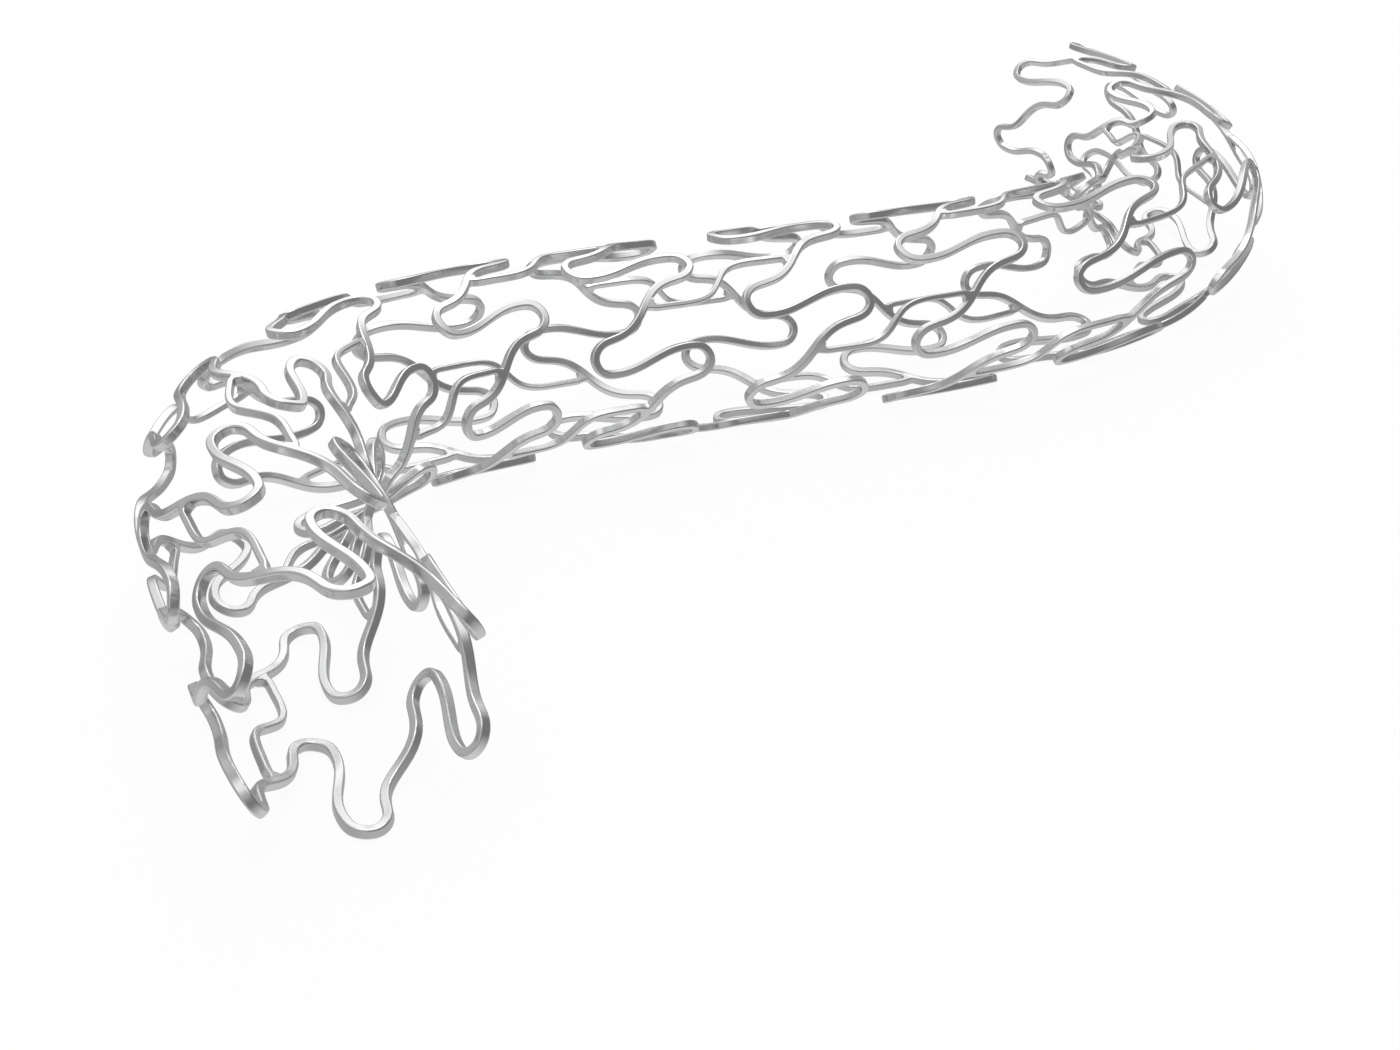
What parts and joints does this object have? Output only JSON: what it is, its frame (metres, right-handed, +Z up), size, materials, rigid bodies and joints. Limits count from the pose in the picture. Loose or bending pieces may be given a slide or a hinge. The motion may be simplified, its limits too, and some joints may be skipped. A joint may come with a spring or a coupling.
{
  "type": "vascular stent",
  "caption": "Vascular stent: a thin metal tube cut into a lattice of wavy rings joined by S-shaped links, bent into a flat S as it follows a vessel.",
  "frame": {"origin": "middle of the footprint, on the surface the stent lies on", "axes": "+X along the straight middle of the bent tube, +Y towards the side one end bends to, +Z up out of the plane of the bends"},
  "size_m": [0.0226, 0.0188, 0.003],
  "materials": {
    "stent_metal": "electropolished satin"
  },
  "bodies": {
    "root": {"stent": "stent_metal"}
  },
  "joints": []
}
